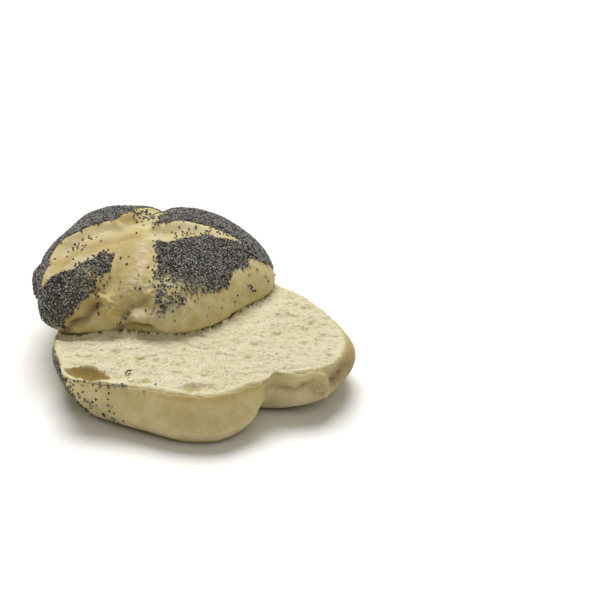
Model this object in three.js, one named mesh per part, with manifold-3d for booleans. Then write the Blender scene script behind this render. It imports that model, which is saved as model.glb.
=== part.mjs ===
// A poppy seed roll, sliced level through its middle. The upper half has been slid back and to the left,
// and lies on the cut face of the lower half. Four pale valleys run out from a star on the lid, with plump
// lobes between them, and poppy seeds cover the lobes.
//
// Units are millimetres and +Z is up. The origin is on the surface that the roll stands on, under the
// middle of its two halves. +X is to the right of someone who looks along +Y.
import * as THREE from "three";
import { MeshSurfaceSampler } from "three/addons/math/MeshSurfaceSampler.js";
import { mergeVertices } from "three/addons/utils/BufferGeometryUtils.js";
import Module from "manifold-3d";

const wasm = await Module();
wasm.setup();

// ---------------------------------------------------------------- driving dimensions
const CUT_HEIGHT = 23; // thickness of the base, up to its cut face
const LID_HEIGHT = 31.4; // thickness of the lid, at the top of its lobes
const LID_GAP = 0.3; // air between the two cut faces
const BASE_AT = [6.9, -22.6]; // middle of the base, in plan
const LID_AT = [-16.1, 26.5]; // middle of the lid, in plan

// An outline is a mean radius with swells on it: [direction in degrees, height, half width in degrees].
const BASE_RIM = {
  mean: 60.1,
  swells: [
    [-143, 3.8, 8],
    [-113, -9.8, 20],
    [-91, -3.5, 12],
    [-62, -11.8, 20],
    [-48, -3.6, 5],
    [-42, -5.2, 12],
    [-5, -1.4, 16],
    [22, -4.1, 18],
    [42, -1.7, 16],
    [70, 2.5, 22],
  ],
};
const BASE_FOOT = {
  mean: 47.4,
  swells: [
    [-170, -1.9, 20],
    [-145, -1.9, 14],
    [-120, -4.4, 20],
    [-90, 1.5, 16],
    [-52, -17.9, 16],
    [-38, -9.8, 16],
    [-15, -9.1, 16],
    [10, 2.8, 18],
  ],
};
// How far the wall of the base stands out between its foot and its rim.
const BASE_BULGE = {
  mean: 4.9,
  swells: [
    [-165, -4.1, 14],
    [-140, -8.4, 14],
    [-48, -5.7, 9],
    [-20, -1.2, 14],
    [5, 1.3, 16],
    [35, -2.7, 16],
  ],
};
const LID_RIM = {
  mean: 50,
  swells: [
    [-168, -1, 16],
    [-134, 7, 11],
    [-122, 5, 9],
    [-98, -3.6, 16],
    [-72, 1, 18],
    [-34, -5.9, 20],
  ],
};
const LID_OVERHANG = 2.5; // the lid is this much wider than its rim
const LID_WIDEST_AT = 4; // at this height above the rim
const LID_LEAN = -7; // the top of the dome lies this far to the side of the middle of the rim
const DOME_FULLNESS = 0.85; // 1 is an ellipse, and less is fuller at the shoulder

// The star on the lid. Each arm is a valley round a chain of balls along the skin: [x, y, z, radius].
const ARM_SLOPE = 5; // the floor of an arm is this far inside its edge
const STAR = [-2, -8, 30, 9];
const LEFT_ARM = {
  depth: 3.4,
  chain: [
    STAR,
    [-14, -10.5, 30, 13],
    [-27, -18.5, 27, 12.3],
    [-32, -29, 23.5, 7.5],
    [-39, -35, 18, 3.8],
    [-42, -37, 14, 1],
  ],
};
const RIGHT_ARM = {
  depth: 3.4,
  chain: [
    STAR,
    [10, -11, 29, 9],
    [20, -3, 29, 7],
    [28, -1, 27, 3],
    [37, -1, 24, 1.5],
    [45, -1, 18, 1],
    [52, 0, 8, 1],
  ],
};
const BACK_ARM = {
  depth: 3.4,
  chain: [STAR, [-1, 3, 30, 9], [0, 15, 29, 7], [3, 30, 25, 4], [6, 50, 12, 3]],
};
const FRONT_ARM = {
  depth: 1.2,
  chain: [
    STAR,
    [1, -29, 27, 8.5],
    [-1, -38, 24, 8.5],
    [-3.5, -44, 20, 10.2],
    [-8, -47, 13, 14],
    [-13, -49, 4, 19],
  ],
};
const ARMS = [LEFT_ARM, RIGHT_ARM, BACK_ARM, FRONT_ARM];

// Folds (by < 0) and ridges (by > 0) in the crust, each along a line of points on the smooth skin.
const LID_RELIEF = [
  // the lobes at the back: the left one is flat on its outer side, and a notch parts it from the right one
  { line: [[-48, -3, 17], [-44, 7, 20], [-38, 13, 23]], by: -4.6, reach: 11 },
  { line: [[-46.5, -17.5, 13], [-49, -16.5, 8], [-48.5, -18, 4]], by: 1.9, reach: 5.5 },
  { line: [[-26, 23, 26.5], [-17, 27, 27.5]], by: 1.3, reach: 8 },
  { line: [[22, 29, 26], [31, 27, 23]], by: 1, reach: 7 },
  { line: [[8.3, 12, 30.8], [7, 24, 29], [5.2, 36, 26], [4, 46, 18]], by: -3, reach: 4.3 },
  // the torn crust in the front arm: a crease under a golden lip, a lump, then a hollow and a deep fold
  { line: [[-21, -46, 9], [-27, -47.5, 5.3], [-31, -47.4, 2.5], [-35, -46, 0]], by: -3, reach: 2.2 },
  { line: [[-17, -46.9, 14], [-23.4, -49, 9.8], [-32, -49.5, 5]], by: 1.5, reach: 2.4 },
  { line: [[-12, -46.5, 13.5], [-12, -48, 8]], by: 3, reach: 3.8 },
  { line: [[-6.5, -48, 9], [-5, -46.4, 14.7], [-1, -45, 18]], by: -2.7, reach: 2.8 },
  { line: [[-2, -49, 10], [4, -50, 9.5]], by: 2.4, reach: 3.2 },
  { line: [[1, -50, 5.5], [-4, -49, 4.5], [-9, -48, 3], [-11, -46, 0]], by: -3.2, reach: 2.4 },
  // where the left arm runs out between two lobes
  { line: [[-42, -38, 17], [-50, -36, 10], [-53, -34, 3]], by: -1.6, reach: 3 },
];
const BASE_RELIEF = [
  // the cleft between the front lobe and the right one
  { line: [[28, -38, 19], [27, -38, 15], [25.5, -40, 10], [24, -34, 2]], by: -4.2, reach: 2.6 },
  // the crease under the thick lip of the right lobe, a second one below it, and the folds at its end
  { line: [[29, -34, 17], [35.4, -33, 16.8], [40.8, -33.4, 17.9], [46, -32, 18.8]], by: -2.8, reach: 1.9 },
  { line: [[42, -33.2, 15.5], [46, -32.5, 16], [49, -31, 18.7]], by: -1.8, reach: 1.8 },
  { line: [[31.9, -33, 20.7], [39.6, -33.2, 21.3], [45.7, -31.7, 20.8]], by: 1, reach: 2.4 },
  { line: [[51.7, -29, 18.8], [51.1, -29.8, 14.8], [50.2, -28.7, 11]], by: 1.2, reach: 1.8 },
  { line: [[54, -27, 18.5], [56.3, -22.8, 18.8], [57.8, -19.5, 18.5]], by: -2.2, reach: 2.6 },
];

// The torn crumb of the cut faces, and the hollows in the base's: middle, half sizes, turn in degrees.
const CRUMB_DEPTH = 1.1;
const CRUMB_LUMP = 7;
const AIR_POCKETS = [
  { at: [-42.7, -34], half: [10.6, 5.2, 7], turn: -32 },
  { at: [-2, -46], half: [5.5, 2.4, 1.6], turn: 14 },
];

// Poppy seeds, as the half sizes of one. The crust under a close coat of them stands proud and is rough.
const SEED_HALF = [0.62, 0.48, 0.42];
const SEED_STANDS_OUT = 0.15;
const SEED_COAT = 0.6;
const SEED_COAT_LUMP = 3;
const SEEDED_FROM = 5; // the lobes of the lid bear seeds from this height on, and from higher at the front
const LID_SEEDS = { count: 138, spacing: 5.4 };
const BASE_SEEDS = { count: 30, spacing: 2.6 };

// How fine the skins are: the length of a triangle's side on crust, and on a cut face.
const CRUST_STEP = 3.2;
const CRUMB_STEP = 5;

// ---------------------------------------------------------------- outlines, noise and relief
const { degToRad, lerp, smoothstep } = THREE.MathUtils;

// A bell around one direction, 1 at its middle. The angle is in radians, the rest in degrees.
function bell(angle, middle, halfWidth) {
  const turn = angle - degToRad(middle);
  return Math.exp(-((Math.atan2(Math.sin(turn), Math.cos(turn)) / degToRad(halfWidth)) ** 2));
}

function radiusOf(outline, angle) {
  return outline.swells.reduce((r, [at, by, halfWidth]) => r + by * bell(angle, at, halfWidth), outline.mean);
}

// Calls visit(distance to the segment's line, share along it) for each segment of a chain of points.
function alongChain(point, chain, visit) {
  const [segment, foot] = [new THREE.Line3(), new THREE.Vector3()];
  for (let i = 1; i < chain.length; i++) {
    segment.start.fromArray(chain[i - 1]);
    segment.end.fromArray(chain[i]);
    const share = segment.closestPointToPointParameter(point, true);
    visit(segment.at(share, foot).distanceTo(point), share, i);
  }
}

// Distance from a point to the edge of an arm, negative inside it.
function armDistance(point, { chain }) {
  let nearest = Infinity;
  alongChain(point, chain, (distance, share, i) => {
    nearest = Math.min(nearest, distance - lerp(chain[i - 1][3], chain[i][3], share));
  });
  return nearest;
}

const starDistance = (point) => Math.min(...ARMS.map((arm) => armDistance(point, arm)));

// How deep the arms lie under the smooth skin at a point.
const starDepth = (point) =>
  Math.max(...ARMS.map((arm) => arm.depth * smoothstep(-armDistance(point, arm), 0, ARM_SLOPE)));

// How far the folds and ridges move the skin out at a point.
function reliefAt(point, features) {
  let total = 0;
  for (const { line, by, reach } of features) {
    let nearest = Infinity;
    alongChain(point, line, (distance) => {
      nearest = Math.min(nearest, distance);
    });
    total += by * Math.exp(-((nearest / reach) ** 2));
  }
  return total;
}

// A number from 0 to 1 that belongs to one corner of a square lattice.
function cornerValue(i, j) {
  const mixed = Math.sin(i * 127.1 + j * 311.7) * 43758.5453;
  return mixed - Math.floor(mixed);
}

// Smooth lumps from 0 to 1: the lattice's corner values, blended across each cell.
function lumps(x, y, cell) {
  const [i, j] = [Math.floor(x / cell), Math.floor(y / cell)];
  const [u, v] = [smoothstep(x / cell - i, 0, 1), smoothstep(y / cell - j, 0, 1)];
  const near = lerp(cornerValue(i, j), cornerValue(i + 1, j), u);
  const far = lerp(cornerValue(i, j + 1), cornerValue(i + 1, j + 1), u);
  return lerp(near, far, v);
}

// Repeatable random numbers from 0 to 1.
function randomFrom(seed) {
  let state = seed;
  return () => {
    state = (state + 0x6d2b79f5) | 0;
    let mixed = Math.imul(state ^ (state >>> 15), 1 | state);
    mixed = (mixed + Math.imul(mixed ^ (mixed >>> 7), 61 | mixed)) ^ mixed;
    return ((mixed ^ (mixed >>> 14)) >>> 0) / 4294967296;
  };
}

// ---------------------------------------------------------------- skins made of rings
const polar = (radius, angle, z) => new THREE.Vector3(radius * Math.cos(angle), radius * Math.sin(angle), z);

// A closed skin from its bottom pole to its top pole. A ring is { pointOn(angle), step }, and has as many
// points as its own length needs, so that the triangles are alike from the pole to the rim.
function ringSkin(bottom, rings, top) {
  const positions = [...bottom.toArray()];
  const loops = [{ start: 0, count: 1, offset: 0 }];
  rings.forEach(({ pointOn, step }, k) => {
    const length = 2 * Math.PI * Math.hypot(pointOn(0).x, pointOn(0).y);
    const count = Math.max(6, Math.round(length / step));
    const loop = { start: positions.length / 3, count, offset: (k % 2) / 2 };
    for (let j = 0; j < loop.count; j++) {
      positions.push(...pointOn(((j + loop.offset) / loop.count) * 2 * Math.PI).toArray());
    }
    loops.push(loop);
  });
  loops.push({ start: positions.length / 3, count: 1, offset: 0 });
  positions.push(...top.toArray());

  const index = [];
  for (let k = 1; k < loops.length; k++) zip(index, loops[k - 1], loops[k]);
  const skin = new THREE.BufferGeometry();
  skin.setAttribute("position", new THREE.Float32BufferAttribute(positions, 3));
  skin.setIndex(index);
  skin.computeVertexNormals();
  return skin;
}

// Fills the band between two loops with triangles, always stepping on along the loop that lags behind.
function zip(index, a, b) {
  const cornerOf = (loop, i) => loop.start + (i % loop.count);
  let i = a.count === 1 ? 1 : 0;
  let j = b.count === 1 ? 1 : 0;
  while (i < a.count || j < b.count) {
    const aLags = (i + 1 + a.offset) / a.count <= (j + 1 + b.offset) / b.count;
    if (j >= b.count || (i < a.count && aLags)) {
      index.push(cornerOf(a, i), cornerOf(a, i + 1), cornerOf(b, j));
      i++;
    } else {
      index.push(cornerOf(a, i), cornerOf(b, j + 1), cornerOf(b, j));
      j++;
    }
  }
}

// Moves each vertex of a skin along its normal, by outBy(point).
function pushOut(skin, outBy) {
  const { position, normal } = skin.attributes;
  const [point, direction] = [new THREE.Vector3(), new THREE.Vector3()];
  for (let i = 0; i < position.count; i++) {
    point.fromBufferAttribute(position, i);
    direction.fromBufferAttribute(normal, i);
    point.addScaledVector(direction, outBy(point));
    position.setXYZ(i, ...point.toArray());
  }
  skin.computeVertexNormals();
}

// Rings that shrink a rim down to the middle of a cut face, from shares close to 1 inwards.
function cutFaceRings(rimPoint, crumb) {
  return [0.93, 0.85, 0.76, 0.67, 0.58, 0.49, 0.4, 0.31, 0.22, 0.12].map((share) => ({
    step: CRUMB_STEP,
    pointOn: (angle) => {
      const at = rimPoint(angle).multiplyScalar(share);
      return at.setZ(crumb(at.x, at.y));
    },
  }));
}

// ---------------------------------------------------------------- the base
// Torn crumb that never rises above the plane of the cut.
const baseCrumb = (x, y) => CUT_HEIGHT - CRUMB_DEPTH * lumps(x, y, CRUMB_LUMP);

// The wall, by share of its height: an elliptical lower edge that runs up to the rim, and a bulge.
function baseWall(angle, share) {
  const [foot, rim] = [radiusOf(BASE_FOOT, angle), radiusOf(BASE_RIM, angle)];
  const round = Math.sqrt(1 - (1 - share) ** 2);
  const bulge = radiusOf(BASE_BULGE, angle) * Math.sin(Math.PI * share);
  return polar(foot + (rim - foot) * round + bulge, angle, CUT_HEIGHT * share);
}

function baseSkin() {
  const rings = [{ pointOn: (angle) => baseWall(angle, 0).multiplyScalar(0.5), step: 12 }];
  const wallSteps = 9;
  for (let i = 0; i <= wallSteps; i++) {
    const share = 1 - Math.cos((i / wallSteps) * (Math.PI / 2));
    rings.push({ pointOn: (angle) => baseWall(angle, share), step: CRUST_STEP });
  }
  rings.push(...cutFaceRings((angle) => baseWall(angle, 1), baseCrumb));
  const skin = ringSkin(new THREE.Vector3(), rings, new THREE.Vector3(0, 0, baseCrumb(0, 0)));
  pushOut(skin, (p) => {
    const onCutFace = Math.hypot(p.x, p.y) < 0.935 * radiusOf(BASE_RIM, Math.atan2(p.y, p.x)) && p.z > 20;
    const fade = smoothstep(p.z, 0, 1.5) * (1 - smoothstep(p.z, 19.5, CUT_HEIGHT));
    return onCutFace ? 0 : fade * reliefAt(p, BASE_RELIEF);
  });
  return skin;
}

const isSeededBase = (p) => {
  const onLeft = bell(Math.atan2(p.y, p.x), -156, 40) > Math.exp(-1);
  return onLeft && p.z > 1.5 && p.z < CUT_HEIGHT - 2;
};

// ---------------------------------------------------------------- the lid
const lidCrumb = (x, y) => CRUMB_DEPTH * lumps(x, y, CRUMB_LUMP);

function lidWall(angle, share) {
  const radius = radiusOf(LID_RIM, angle) + LID_OVERHANG * (1 - (1 - share) ** 2);
  return polar(radius, angle, LID_WIDEST_AT * share);
}

// The dome, by share of a quarter turn from its widest ring to its top.
function lidDome(angle, share) {
  const turn = (share * Math.PI) / 2;
  const radius = (radiusOf(LID_RIM, angle) + LID_OVERHANG) * Math.cos(turn) ** DOME_FULLNESS;
  return polar(radius, angle, lerp(LID_WIDEST_AT, LID_HEIGHT, Math.sin(turn) ** DOME_FULLNESS));
}

// The lobes are seeded down to a height that changes round the lid.
const isSeededLid = (p) => {
  const angle = Math.atan2(p.y, p.x);
  const higher = 8.5 * bell(angle, -55, 38) + 10.5 * bell(angle, -12, 12);
  const lower = 2.7 * bell(angle, -131, 14) + 2.5 * bell(angle, -78, 10);
  return p.z > SEEDED_FROM + higher - lower && starDistance(p) > 0;
};

function lidSkin() {
  const rings = cutFaceRings((angle) => lidWall(angle, 0), lidCrumb).reverse();
  for (const share of [0, 0.4]) rings.push({ pointOn: (angle) => lidWall(angle, share), step: CRUST_STEP });
  const domeSteps = 20;
  for (let i = 0; i < domeSteps; i++) {
    rings.push({ pointOn: (angle) => lidDome(angle, i / domeSteps), step: CRUST_STEP });
  }
  const skin = ringSkin(new THREE.Vector3(0, 0, lidCrumb(0, 0)), rings, new THREE.Vector3(0, 0, LID_HEIGHT));
  pushOut(skin, (p) => {
    if (p.z <= CRUMB_DEPTH) return 0;
    const valley = starDepth(p) * smoothstep(p.z, 1, 14);
    const coat = isSeededLid(p) ? SEED_COAT * (0.6 + 0.8 * lumps(p.x, p.y + p.z, SEED_COAT_LUMP)) : 0;
    return coat - valley + reliefAt(p, LID_RELIEF) * smoothstep(p.z, 0, 3);
  });
  return skin;
}

// ---------------------------------------------------------------- solids and seeds
const solidOf = (geometry) =>
  new wasm.Manifold(
    new wasm.Mesh({
      numProp: 3,
      vertProperties: new Float32Array(geometry.attributes.position.array),
      triVerts: new Uint32Array(geometry.index.array),
    }),
  );

function geometryOf(solid) {
  const mesh = solid.getMesh();
  const geometry = new THREE.BufferGeometry();
  geometry.setAttribute("position", new THREE.BufferAttribute(mesh.vertProperties, 3));
  geometry.setIndex(new THREE.BufferAttribute(mesh.triVerts, 1));
  return geometry;
}

// An ellipsoid with 20 faces, or 80 at detail 1.
function ellipsoid(half, detail, place) {
  const ball = new THREE.IcosahedronGeometry(1, detail);
  ball.deleteAttribute("normal");
  ball.deleteAttribute("uv");
  return solidOf(mergeVertices(ball, 1e-4).scale(...half).applyMatrix4(place));
}

// Single seeds on a skin, spacing apart or more, where isSeeded(point) says that the crust bears them.
function seedsOn(skin, { count, spacing }, isSeeded, start) {
  const random = randomFrom(start);
  const sampler = new MeshSurfaceSampler(new THREE.Mesh(skin)).setRandomGenerator(random).build();
  const [point, normal, up] = [new THREE.Vector3(), new THREE.Vector3(), new THREE.Vector3(0, 0, 1)];
  const whole = new THREE.Vector3(1, 1, 1);
  const centres = [];
  const seeds = [];
  for (let tries = 0; seeds.length < count && tries < 300 * count; tries++) {
    sampler.sample(point, normal);
    const centre = point.clone().addScaledVector(normal, SEED_STANDS_OUT);
    if (!isSeeded(point) || centres.some((other) => other.distanceTo(centre) < spacing)) continue;
    const pose = new THREE.Quaternion().setFromUnitVectors(up, normal);
    pose.multiply(new THREE.Quaternion().setFromAxisAngle(up, random() * Math.PI));
    centres.push(centre);
    seeds.push(ellipsoid(SEED_HALF, 0, new THREE.Matrix4().compose(centre, pose, whole)));
  }
  return seeds;
}

function rollBase() {
  const skin = baseSkin();
  const seeds = seedsOn(skin, BASE_SEEDS, isSeededBase, 7);
  const pockets = AIR_POCKETS.map(({ at, half, turn }) =>
    ellipsoid(half, 1, new THREE.Matrix4().makeRotationZ(degToRad(turn)).setPosition(...at, CUT_HEIGHT)),
  );
  const seeded = wasm.Manifold.union([solidOf(skin), ...seeds]);
  return geometryOf(seeded.subtract(wasm.Manifold.union(pockets)));
}

function rollLid() {
  const skin = lidSkin();
  const seeds = seedsOn(skin, LID_SEEDS, isSeededLid, 11);
  const lid = geometryOf(wasm.Manifold.union([solidOf(skin), ...seeds]));
  const lean = new THREE.Matrix4().makeShear(0, 0, 0, 0, LID_LEAN / LID_HEIGHT, 0);
  return lid.applyMatrix4(lean);
}

// ---------------------------------------------------------------- the roll
function half(name, geometry, colour, [x, y], z) {
  const material = new THREE.MeshStandardMaterial({ color: colour, roughness: 0.75, metalness: 0 });
  const mesh = new THREE.Mesh(geometry, material);
  mesh.name = name;
  mesh.position.set(x, y, z);
  return mesh;
}

const roll = new THREE.Group();
roll.add(half("roll_base", rollBase(), 0xd9cba0, BASE_AT, 0));
roll.add(half("roll_lid", rollLid(), 0xcdb882, LID_AT, CUT_HEIGHT + LID_GAP));
export default roll;
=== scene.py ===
"""A poppy seed roll, sliced level: crust, torn crumb and seeds of its base and its lid, on a pale floor.

The shapes are worked out in millimetres, round the middle of each half, and become metres in the mesh.
"""

from itertools import combinations
from math import cos, pi, radians, sin, sqrt

import bpy
import numpy as np
from bpy.props import FloatProperty, FloatVectorProperty, IntProperty, PointerProperty
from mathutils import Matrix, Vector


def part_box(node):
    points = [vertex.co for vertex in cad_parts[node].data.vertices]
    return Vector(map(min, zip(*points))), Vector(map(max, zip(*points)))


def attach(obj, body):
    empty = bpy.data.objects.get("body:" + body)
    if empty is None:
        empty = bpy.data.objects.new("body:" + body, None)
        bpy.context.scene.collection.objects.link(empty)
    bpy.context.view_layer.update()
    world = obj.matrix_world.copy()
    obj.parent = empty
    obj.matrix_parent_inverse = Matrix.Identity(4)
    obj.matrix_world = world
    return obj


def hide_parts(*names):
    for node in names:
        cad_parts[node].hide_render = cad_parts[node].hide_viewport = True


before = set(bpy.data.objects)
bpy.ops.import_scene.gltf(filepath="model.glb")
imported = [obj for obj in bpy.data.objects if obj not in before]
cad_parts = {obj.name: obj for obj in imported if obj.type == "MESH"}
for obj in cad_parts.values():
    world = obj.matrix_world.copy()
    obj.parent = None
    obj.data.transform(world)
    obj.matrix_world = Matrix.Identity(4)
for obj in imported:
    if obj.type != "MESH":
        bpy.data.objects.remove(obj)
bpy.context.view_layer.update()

bl_info = {
    "name": "Poppy seed roll",
    "version": (1, 0, 0),
    "blender": (4, 5, 0),
    "location": "View3D > Sidebar > Roll",
    "description": "Builds a sliced poppy seed roll from its crust, crumb and seeds",
    "category": "Add Mesh",
}

MM = 0.001

# ---------- sizes of the two halves, in millimetres
BASE_BOX = np.array(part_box("roll_base")) / MM
LID_BOX = np.array(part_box("roll_lid")) / MM
CUT_HEIGHT = BASE_BOX[1, 2]
LID_HEIGHT = 31.4
BASE_AT = np.array([6.9, -22.6, 0])
LID_AT = np.array([-16.1, 26.5, LID_BOX[0, 2]])

# An outline is a mean radius with swells on it: (direction in degrees, height, half width in degrees).
BASE_RIM = (60.1, [
    (-143, 3.8, 8), (-113, -9.8, 20), (-91, -3.5, 12), (-62, -11.8, 20), (-48, -3.6, 5), (-42, -5.2, 12),
    (-5, -1.4, 16), (22, -4.1, 18), (42, -1.7, 16), (70, 2.5, 22)])
BASE_FOOT = (47.4, [
    (-170, -1.9, 20), (-145, -1.9, 14), (-120, -4.4, 20), (-90, 1.5, 16), (-52, -17.9, 16),
    (-38, -9.8, 16), (-15, -9.1, 16), (10, 2.8, 18)])
BASE_BULGE = (4.9, [
    (-165, -4.1, 14), (-140, -8.4, 14), (-48, -5.7, 9), (-20, -1.2, 14), (5, 1.3, 16), (35, -2.7, 16)])
LID_RIM = (50, [
    (-168, -1, 16), (-134, 7, 11), (-122, 5, 9), (-98, -3.6, 16), (-72, 1, 18), (-34, -5.9, 20)])
LID_OVERHANG = 2.5
LID_WIDEST_AT = 4
LID_LEAN = -7
DOME_FULLNESS = 0.85
WALL_SHARE = 0.06  # the part of the way up the lid that is upright wall

# The lower edge of the lid's seeded lobes: its height above the cut, given as an outline's radius is.
LOBE_EDGE = (5, [(-55, 8.5, 38), (-12, 10.5, 12), (-131, -2.7, 14), (-78, -2.5, 10)])

# Each arm of the star is a depth and a chain of balls along the lid's skin: (x, y, z, radius).
ARM_SLOPE = 5
STAR = (-2, -8, 30, 9)
LEFT_ARM = (3.4, [
    STAR, (-14, -10.5, 30, 13), (-27, -18.5, 27, 12.3), (-32, -29, 23.5, 7.5), (-39, -35, 18, 3.8),
    (-42, -37, 14, 1)])
RIGHT_ARM = (3.4, [
    STAR, (10, -11, 29, 9), (20, -3, 29, 7), (28, -1, 27, 3), (37, -1, 24, 1.5), (45, -1, 18, 1),
    (52, 0, 8, 1)])
BACK_ARM = (3.4, [STAR, (-1, 3, 30, 9), (0, 15, 29, 7), (3, 30, 25, 4), (6, 50, 12, 3)])
FRONT_ARM = (1.2, [
    STAR, (1, -29, 27, 8.5), (-1, -38, 24, 8.5), (-3.5, -44, 20, 10.2), (-8, -47, 13, 14),
    (-13, -49, 4, 19)])
ARMS = [LEFT_ARM, RIGHT_ARM, BACK_ARM, FRONT_ARM]

# Folds (height < 0) and ridges (height > 0): (line of points on the smooth skin, height, reach).
FOLD_POWER = 1.35  # how sharp a fold is; a ridge has 2
LID_CREASE = [(-18.4, -47.5, 11.5), (-22.3, -49.1, 7.1), (-28, -50, 5.4), (-33.6, -48.1, 0.8)]
LID_LIP = [(-19.6, -46, 15.5), (-23.1, -48.2, 12.2), (-26.9, -49.7, 9.5), (-33, -49.9, 3.9)]
LID_LUMP = [(-12.5, -46.8, 12), (-12.5, -48, 7)]
LID_HOLLOW = [(-7, -48, 8), (-4, -47.4, 11.5), (1, -47, 13.5)]
LID_CRACKS = [(3.3, -21.8, 29.8), (3, -32.7, 26.8), (1, -39.6, 22.5), (-3, -45, 17)]
LID_FOLD = [(2, -50, 3.8), (-4, -49, 3.2), (-9, -48, 2), (-11, -46, 0)]
LID_RELIEF = [
    ([(-48, -3, 17), (-44, 7, 20), (-38, 13, 23)], -4.6, 11),
    ([(-46.5, -17.5, 13), (-49, -16.5, 8), (-48.5, -18, 4)], 1.9, 5.5),
    ([(-26, 23, 26.5), (-17, 27, 27.5)], 1.3, 8),
    ([(22, 29, 26), (31, 27, 23)], 1, 7),
    ([(8.3, 12, 30.8), (7, 24, 29), (5.2, 36, 26), (4, 46, 18)], -3, 4.3),
    (LID_CREASE, -3.6, 1.7),
    (LID_LIP, 1.9, 2.4),
    ([(-17.5, -45, 16.5), (-15.8, -47, 11.5)], -2.4, 1.6),
    (LID_LUMP, 3, 3.8),
    (LID_HOLLOW, -2.7, 2.8),
    ([(-3, -49, 8), (5, -50, 7.5)], 2.4, 3),
    (LID_FOLD, -3.2, 2.4),
    ([(-42, -38, 17), (-50, -36, 10), (-53, -34, 3)], -1.6, 3),
]
CLEFT = [(28.5, -37.5, 19.5), (28, -37.5, 15), (26.5, -39.5, 10), (24, -34, 2)]
LOBE_CREASE = [(29.6, -32, 15.6), (35, -32.7, 15.3), (40.8, -33.4, 16.6), (44.4, -32.8, 17.2)]
LOBE_POCKET = [(46.2, -32.3, 15.4), (44.7, -32.6, 14), (46.8, -31.5, 12.5)]
LOBE_HOLLOW = [(52.6, -28.6, 17.2), (56.8, -22.1, 18.1)]
BASE_RELIEF = [
    (CLEFT, -6.5, 2.6),
    (LOBE_CREASE, -4, 1.8),
    (LOBE_POCKET, -3.2, 1.8),
    (LOBE_HOLLOW, -3, 2.2),
    ([(31.9, -33, 20), (39.6, -33.2, 20.6), (45.7, -31.7, 20.6)], 1.4, 2.4),
    ([(48.6, -30.9, 19.4), (50.7, -30.2, 16.6), (49.8, -29.7, 11)], 1.8, 1.5),
]

# Marks on the skin: (line of points, strength, reach). First those of the lid's coat of seeds: where it is
# bare, reaches further, is loose or thin, and where single seeds strayed.
SEEDS_BARE = [
    ([(39, -20, 16.5), (38.5, -24, 13)], 6, 3.5),
    ([(21, -6, 29.5), (33, -5, 26.5)], 4, 3.2),
    ([(-27.5, -35, 24.7), (-17, -29.4, 27.8), (-11, -25, 29)], 2.4, 5),
]
SEEDS_MORE = [
    ([(-20, -45, 17), (-26, -49, 11)], 4.5, 6),
    ([(-9.5, -27, 28), (-12, -30, 27)], 1.5, 3.5),
]
SEEDS_LOOSE = [
    ([(8, -45, 20), (9, -50, 9), (20, -48, 12)], 0.5, 9),
    ([(-24, -35, 25), (-12, -27, 28.5)], 0.5, 4),
]
SEEDS_THIN = [
    ([(7, -48, 16), (18, -49, 12)], 0.2, 6.5),
    ([(18, -45, 17), (30, -38, 13)], 0.25, 8),
    ([(7, -38, 24), (11, -43, 20.5)], 0.2, 5),
    ([(-41, -38, 8), (-30, -47, 9)], 0.15, 6),
    ([(-21, -41, 19), (-19, -39, 21)], 0.3, 5),
]
SEEDS_STRAYED = [
    ([(-24, -6, 30), (-33, -14, 27)], 0.05, 5),
    ([(-9, 17, 30), (5, 20, 29)], 0.26, 5),
    ([(17, -6, 30), (35, -1, 25)], 0.2, 3),
]
FULL_COAT = 0.98

# Marks of colour.
LEFT_ARM_BED = [(-15, -13, 30), (-31, -23, 26)]
TOP_SPOT = [(-2.3, -9.4, 31), (-4.6, -12.5, 31)]
BACK_SPOT = [(-9.3, 7.1, 31), (-4.1, 11.1, 31)]
LID_GOLDEN = [
    ([(-4, -20, 30), (-9, -42, 20)], 1.3, 8.5),
    (LEFT_ARM_BED, 0.7, 8),
    (TOP_SPOT, 1.2, 4.5),
    (BACK_SPOT, 1.1, 4),
    (LID_LIP, 1.2, 3),
    ([(-14, -44, 18), (-13, -47, 9)], 1.1, 4.5),
    ([(-6, -35.6, 24.7), (-15, -44, 18)], 0.6, 5),
    ([(46, -8, 10), (41, -22, 10), (30, -38, 9)], 0.2, 9),
]
# Marks on the lid: browning on the left and front arms, the spots and the lip, and painted shade in the
# hollow and the fold.
LID_TAN_AND_SHADE = [
    (LEFT_ARM_BED, 0.5, 8),
    ([(0, -25, 29), (-6, -38, 24)], 0.35, 7),
    (BACK_SPOT, 0.6, 3.5),
    (TOP_SPOT, 0.5, 3.5),
    (LID_LIP, 0.3, 2.2),
    (LID_HOLLOW, 0.7, 2.5),
    (LID_FOLD, 0.7, 2),
]
LID_FLOUR = [
    ([(-1, -50, 8), (5, -50, 7.5)], 0.8, 3.5),
    ([(-15, -6, 31), (-31, -13, 28)], 0.25, 7),
    (RIGHT_ARM[1][1:5], 0.4, 6),
]
# Painted shade in the tan colour, down in the crease, pocket, cleft and hollow of the base's wall on the
# right.
BASE_RECESS_SHADE = [(LOBE_CREASE, 0.8, 1.8), (LOBE_POCKET, 0.8, 1.8), (CLEFT, 0.6, 2), (LOBE_HOLLOW, 0.6, 2.5)]

# Patches of colour on the base's wall: (strength, height, half height, direction, half width in degrees).
GOLDEN_PATCHES = [(0.5, 20, 2.6, -80, 30), (0.7, 19.5, 4, -4, 16)]
# Of these tan patches, the first is browning under the rim. The second, on the right end, is browning with
# painted shadow where a neighbouring roll would shade it. The third, on the front wall at mid height, is
# painted shade.
TAN_AND_SHADE_PATCHES = [(0.35, 21, 1.2, -80, 26), (1.2, 14, 8, -16, 14), (0.35, 12, 5, -82, 24)]

# Hollows in the cut face of the base: (middle, half sizes, turn in degrees).
AIR_POCKET = ((-42.7, -34), (10.6, 5.2, 7), -32)
DENT = ((-1.2, -46.4), (5.2, 3, 2.8), 10)

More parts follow.
